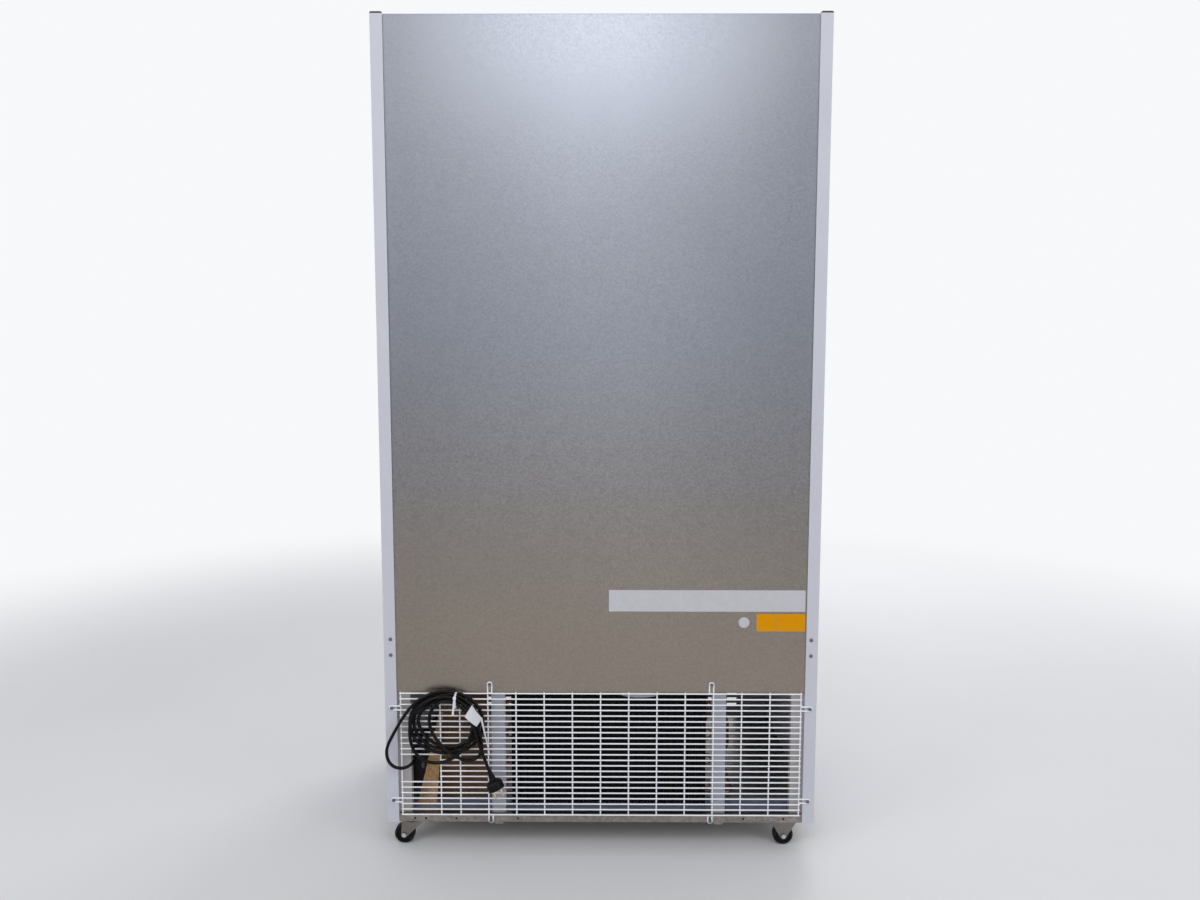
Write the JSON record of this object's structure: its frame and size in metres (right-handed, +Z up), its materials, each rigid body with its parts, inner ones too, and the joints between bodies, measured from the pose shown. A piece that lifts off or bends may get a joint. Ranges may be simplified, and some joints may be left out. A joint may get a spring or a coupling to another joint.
{
  "type": "laboratory refrigerator",
  "caption": "Upright two-door glass-fronted laboratory refrigerator on castors, with a galvanised back and a white wire grille over its machine compartment.",
  "frame": {"origin": "on the floor under the middle of the cabinet with its handles", "axes": "+Z up, doors face -Y, rear grille faces +Y, +X to the right of a person before the doors"},
  "size_m": [1.05, 0.7611, 1.994],
  "materials": {
    "skin_paint": "satin",
    "galvanised_sheet": "spangled satin",
    "chassis_zinc": "satin",
    "foam": "matte",
    "liner_white": "gloss",
    "frame_white": "satin",
    "upright_grey": "satin",
    "grille_white": "gloss coat",
    "screw_steel": "satin",
    "cap_dark": "matte",
    "door_paint": "satin",
    "control_black": "gloss",
    "switch_black": "gloss",
    "button_grey": "matte",
    "shelf_steel": "satin",
    "shelf_wire": "coated",
    "light_diffuser": "matte",
    "evaporator_aluminium": "satin",
    "fan_black": "matte",
    "motor_steel": "satin",
    "compressor_black": "satin",
    "mount_rubber": "matte",
    "pipe_copper": "satin",
    "drain_plastic": "matte",
    "board_fibre": "matte",
    "box_black": "matte",
    "castor_zinc": "zinc plated",
    "tyre_rubber": "matte",
    "glass": "polished",
    "gasket_grey": "matte",
    "handle_aluminium": "anodised",
    "lock_chrome": "polished",
    "cord_black": "satin",
    "tie_white": "satin",
    "plug_black": "satin"
  },
  "bodies": {
    "cabinet": {"side_panel_left": "skin_paint", "side_panel_right": "skin_paint", "back_panel": "galvanised_sheet", "top_panel": "skin_paint", "base_frame": "chassis_zinc", "compartment_sheets": "chassis_zinc", "foam_body": "foam", "inner_liner": "liner_white", "front_frame": "frame_white", "rear_uprights": "upright_grey", "rear_grille": "grille_white", "rear_screws": "screw_steel", "post_caps": "cap_dark", "header_panel": "door_paint", "controller_housing": "control_black", "kick_grille": "door_paint", "hinge_brackets": "chassis_zinc", "shelf_supports": "shelf_steel", "wire_shelves": "shelf_wire", "light_strips": "light_diffuser", "evaporator_coil": "evaporator_aluminium", "evaporator_cover": "liner_white", "fan_motors": "motor_steel", "compressor": "compressor_black", "compressor_mounts": "mount_rubber", "condenser_coil": "compressor_black", "condenser_shroud": "compressor_black", "refrigerant_pipes": "pipe_copper", "drain_pan": "drain_plastic", "fibre_board": "board_fibre", "terminal_box": "box_black", "cord_gland": "box_black", "castor_plates": "castor_zinc", "mains_cord": "cord_black", "cord_coil": "cord_black", "cord_tie": "tie_white", "mains_plug": "plug_black"},
    "door_left": {"door_frame_left": "door_paint", "door_glass_left": "glass", "door_gasket_left": "gasket_grey", "door_handle_left": "handle_aluminium"},
    "door_right": {"door_frame_right": "door_paint", "door_glass_right": "glass", "door_gasket_right": "gasket_grey", "door_handle_right": "handle_aluminium"},
    "lock_left": {"door_lock_left": "lock_chrome"},
    "lock_right": {"door_lock_right": "lock_chrome"},
    "set_key": {"set_button": "button_grey"},
    "down_key": {"down_button": "button_grey"},
    "up_key": {"up_button": "button_grey"},
    "mains_switch": {"power_switch": "switch_black"},
    "evaporator_rotor_left": {"evaporator_fan_left": "fan_black"},
    "evaporator_rotor_right": {"evaporator_fan_right": "fan_black"},
    "condenser_rotor": {"condenser_fan": "fan_black"},
    "castor_rear": {"swivel_fork_rear": "castor_zinc"},
    "castor_front": {"swivel_fork_front": "castor_zinc"},
    "castor_wheel_rear": {"swivel_wheel_rear": "tyre_rubber"},
    "castor_wheel_front": {"swivel_wheel_front": "tyre_rubber"},
    "fixed_wheel_a": {"fixed_wheel_rear": "tyre_rubber"},
    "fixed_wheel_b": {"fixed_wheel_front": "tyre_rubber"}
  },
  "joints": [
    {"name": "door_left_hinge", "type": "hinge", "parent": "cabinet", "child": "door_left", "pos_m": [-0.511, -0.30075, 0.4], "axis": [0, 0, -1], "range_deg": [0, 110]},
    {"name": "door_right_hinge", "type": "hinge", "parent": "cabinet", "child": "door_right", "pos_m": [0.511, -0.30075, 0.4], "axis": [0, 0, 1], "range_deg": [0, 110]},
    {"name": "lock_left_turn", "type": "hinge", "parent": "door_left", "child": "lock_left", "pos_m": [-0.0325, -0.32475, 0.86], "axis": [0, 1, 0], "range_deg": [0, 90]},
    {"name": "lock_right_turn", "type": "hinge", "parent": "door_right", "child": "lock_right", "pos_m": [0.0325, -0.32475, 0.86], "axis": [0, 1, 0], "range_deg": [0, 90]},
    {"name": "set_press", "type": "slide", "parent": "cabinet", "child": "set_key", "axis": [0, 1, 0], "range_m": [0, 0.0012], "stiffness_N_per_m": 400},
    {"name": "down_press", "type": "slide", "parent": "cabinet", "child": "down_key", "axis": [0, 1, 0], "range_m": [0, 0.0012], "stiffness_N_per_m": 400},
    {"name": "up_press", "type": "slide", "parent": "cabinet", "child": "up_key", "axis": [0, 1, 0], "range_m": [0, 0.0012], "stiffness_N_per_m": 400},
    {"name": "mains_switch_rock", "type": "hinge", "parent": "cabinet", "child": "mains_switch", "pos_m": [-0.266, -0.32125, 1.923], "axis": [1, 0, 0], "range_deg": [-8, 8]},
    {"name": "evaporator_fan_left_spin", "type": "hinge", "parent": "cabinet", "child": "evaporator_rotor_left", "pos_m": [-0.19, -0.04175, 1.8117], "axis": [0, 0, 1], "continuous": true},
    {"name": "evaporator_fan_right_spin", "type": "hinge", "parent": "cabinet", "child": "evaporator_rotor_right", "pos_m": [0.19, -0.04175, 1.8117], "axis": [0, 0, 1], "continuous": true},
    {"name": "condenser_fan_spin", "type": "hinge", "parent": "cabinet", "child": "condenser_rotor", "pos_m": [-0.02, 0.22595, 0.242], "axis": [0, 1, 0], "continuous": true},
    {"name": "castor_rear_swivel", "type": "hinge", "parent": "cabinet", "child": "castor_rear", "pos_m": [0.471, 0.30925, 0.074], "axis": [0, 0, 1], "continuous": true},
    {"name": "castor_rear_roll", "type": "hinge", "parent": "castor_rear", "child": "castor_wheel_rear", "pos_m": [0.492, 0.30925, 0.025], "axis": [0, 1, 0], "continuous": true},
    {"name": "castor_front_swivel", "type": "hinge", "parent": "cabinet", "child": "castor_front", "pos_m": [0.471, -0.22275, 0.074], "axis": [0, 0, 1], "continuous": true},
    {"name": "castor_front_roll", "type": "hinge", "parent": "castor_front", "child": "castor_wheel_front", "pos_m": [0.492, -0.22275, 0.025], "axis": [0, 1, 0], "continuous": true},
    {"name": "fixed_wheel_a_roll", "type": "hinge", "parent": "cabinet", "child": "fixed_wheel_a", "pos_m": [-0.4576, 0.30925, 0.025], "axis": [0, 1, 0], "continuous": true},
    {"name": "fixed_wheel_b_roll", "type": "hinge", "parent": "cabinet", "child": "fixed_wheel_b", "pos_m": [-0.4576, -0.22275, 0.025], "axis": [0, 1, 0], "continuous": true}
  ]
}
